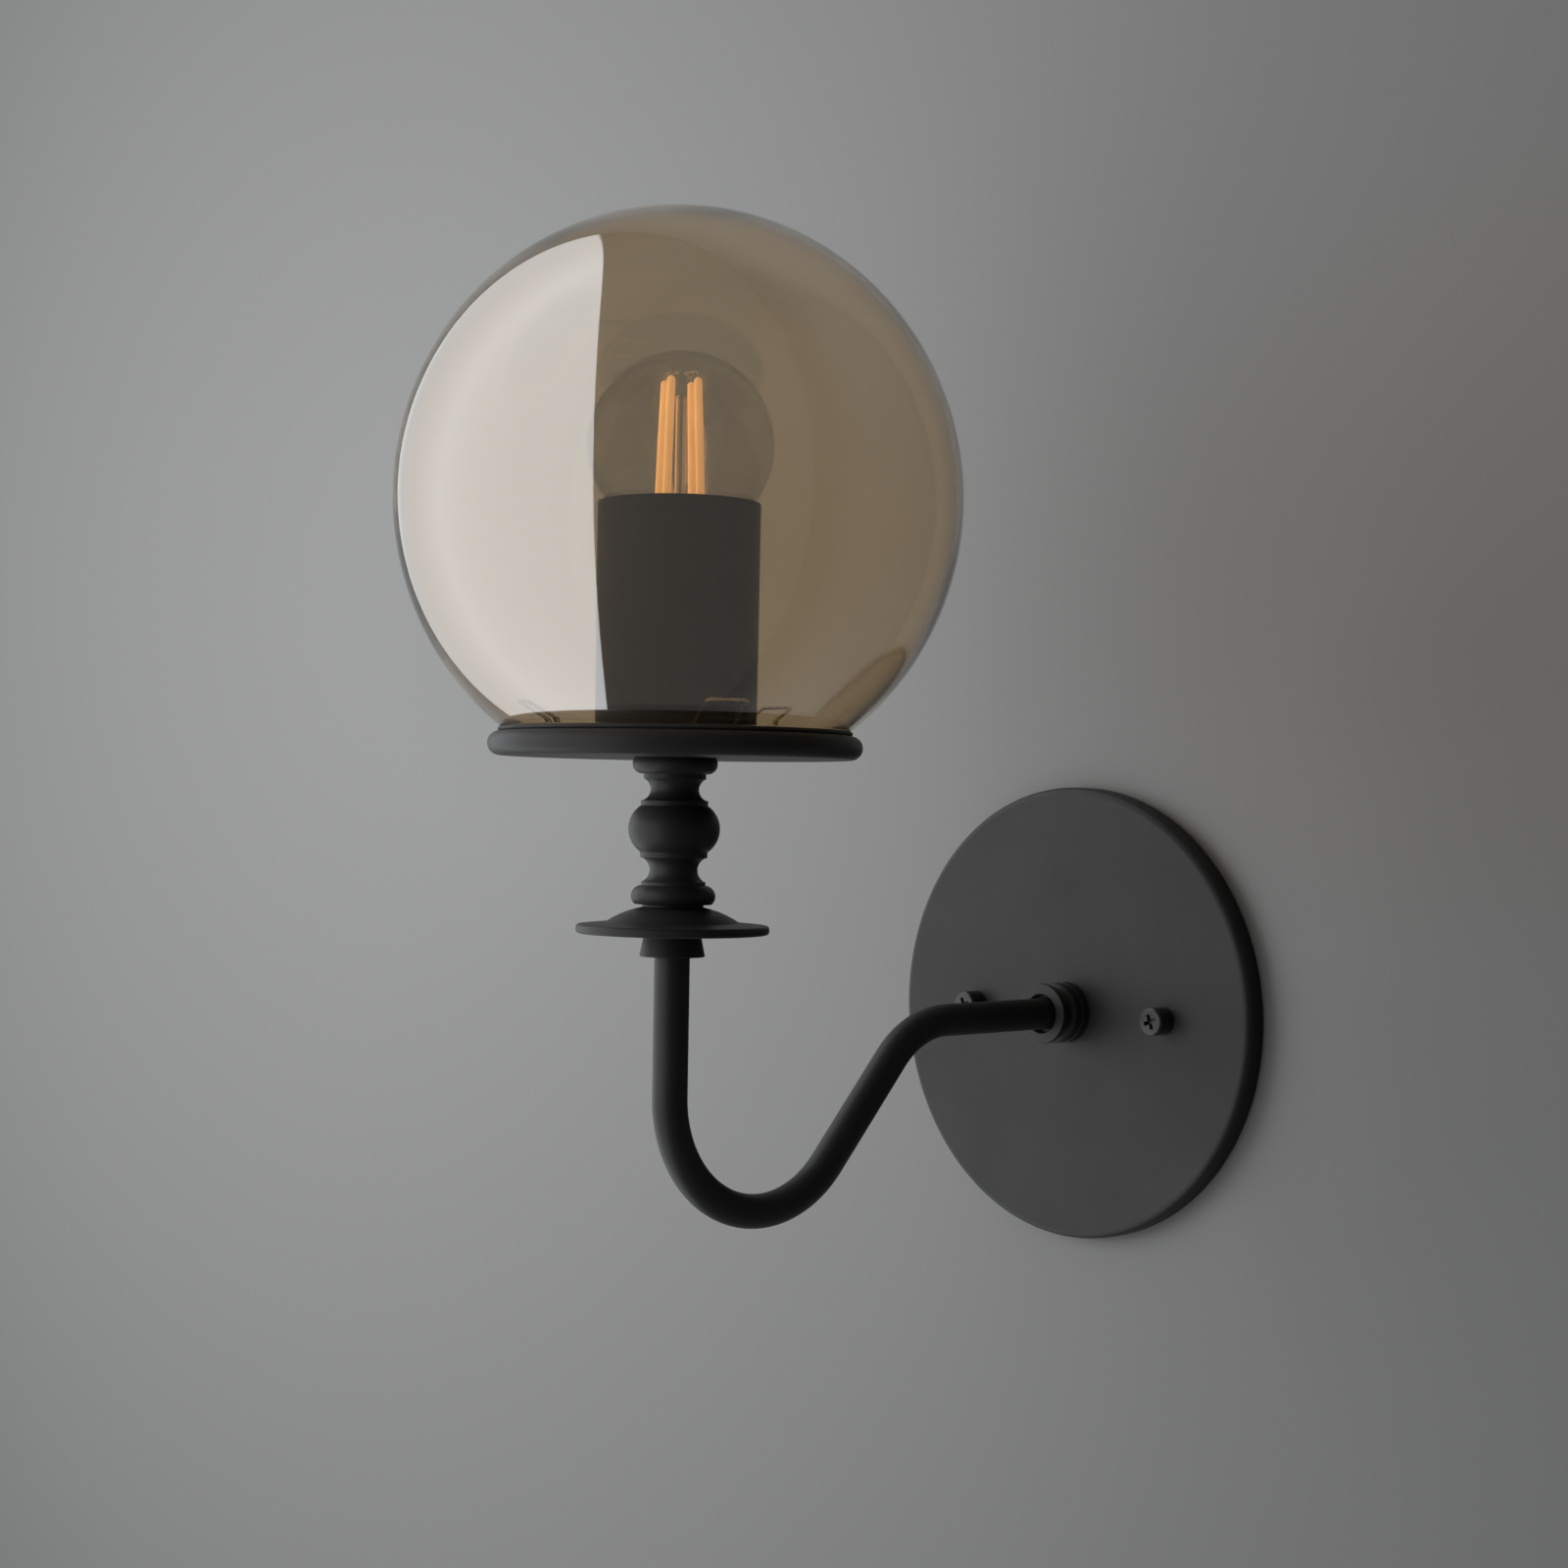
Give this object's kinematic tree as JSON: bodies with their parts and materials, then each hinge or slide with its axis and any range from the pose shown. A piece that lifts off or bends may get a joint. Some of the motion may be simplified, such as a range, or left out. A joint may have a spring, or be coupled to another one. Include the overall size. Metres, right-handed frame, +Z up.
{
  "type": "globe wall sconce",
  "caption": "Wall sconce: a gooseneck arm from a round canopy carries a turned stem, a drip disc and a tray with a smoked glass globe, open below, over a screw-in bulb.",
  "frame": {"origin": "centre of the canopy's back on the wall, midway between the bracket's two slots", "axes": "+Z up, +Y into the wall, -Y out along the arm, +X to the right as seen from the room"},
  "size_m": [0.152, 0.243, 0.2912],
  "materials": {
    "black_paint": "matte black paint, faint texture",
    "screw_black": "satin black, a little glossier than the paint",
    "zinc_plate": "bright zinc plate",
    "earth_green": "green dyed plating",
    "lead_black": "smooth insulation",
    "lead_white": "smooth insulation",
    "gasket_rubber": "soft black rubber",
    "spring_wire": "bright drawn wire",
    "smoked_glass": "clear smoke-amber glass with a mirror-like lustre",
    "socket_moulding": "moulded phenolic",
    "socket_brass": "plain brass",
    "bulb_glass": "clear blown glass",
    "bulb_nickel": "nickel plate",
    "bulb_insulator": "black glass",
    "solder": "dull solder",
    "filament_coating": "orange phosphor coating, unlit",
    "support_wire": "bright nickel wire"
  },
  "bodies": {
    "fixture": {"wall_canopy": "black_paint", "wall_collar": "black_paint", "arm_tube": "black_paint", "cone_coupling": "black_paint", "drip_disc": "black_paint", "baluster": "black_paint", "globe_tray": "black_paint", "socket_cup": "black_paint", "mounting_bracket": "zinc_plate", "ground_screw": "earth_green", "arm_nipple": "zinc_plate", "canopy_lock_washer": "zinc_plate", "canopy_nut": "zinc_plate", "stem_pipe": "zinc_plate", "cup_washer": "zinc_plate", "cup_nut": "zinc_plate", "live_lead": "lead_black", "neutral_lead": "lead_white", "globe_gasket": "gasket_rubber", "spring_clip_1": "spring_wire", "spring_clip_2": "spring_wire", "spring_clip_3": "spring_wire", "socket_cap": "zinc_plate", "socket_body": "socket_moulding", "socket_shell": "socket_brass", "centre_contact": "socket_brass", "contact_rivet": "socket_brass"},
    "globe": {"glass_globe": "smoked_glass"},
    "bulb_foot": {"bulb_insulator": "bulb_insulator", "bulb_tip": "solder"},
    "bulb": {"bulb_envelope": "bulb_glass", "bulb_screw_shell": "bulb_nickel", "bulb_mount": "bulb_glass", "led_filaments": "filament_coating", "filament_supports": "support_wire"},
    "left_screw": {"canopy_screw_left": "screw_black"},
    "right_screw": {"canopy_screw_right": "screw_black"}
  },
  "joints": [
    {"name": "globe_lift", "type": "slide", "parent": "fixture", "child": "globe", "axis": [0, 0, 1], "range_m": [0, 0.11]},
    {"name": "bulb_rise", "type": "slide", "parent": "fixture", "child": "bulb_foot", "axis": [0, 0, 1], "range_m": [0, 0.0182]},
    {"name": "bulb_turn", "type": "hinge", "parent": "bulb_foot", "child": "bulb", "pos_m": [0, -0.167, 0.12], "axis": [0, 0, 1], "range_deg": [0, 1800]},
    {"name": "left_screw_turn", "type": "hinge", "parent": "fixture", "child": "left_screw", "pos_m": [-0.038, -0.009, 0], "axis": [0, -1, 0], "continuous": true},
    {"name": "right_screw_turn", "type": "hinge", "parent": "fixture", "child": "right_screw", "pos_m": [0.038, -0.009, 0], "axis": [0, -1, 0], "continuous": true}
  ],
  "couplings": [
    {"joint": "bulb_rise", "follows": "bulb_turn", "m_per_rad": 0.00057757}
  ]
}
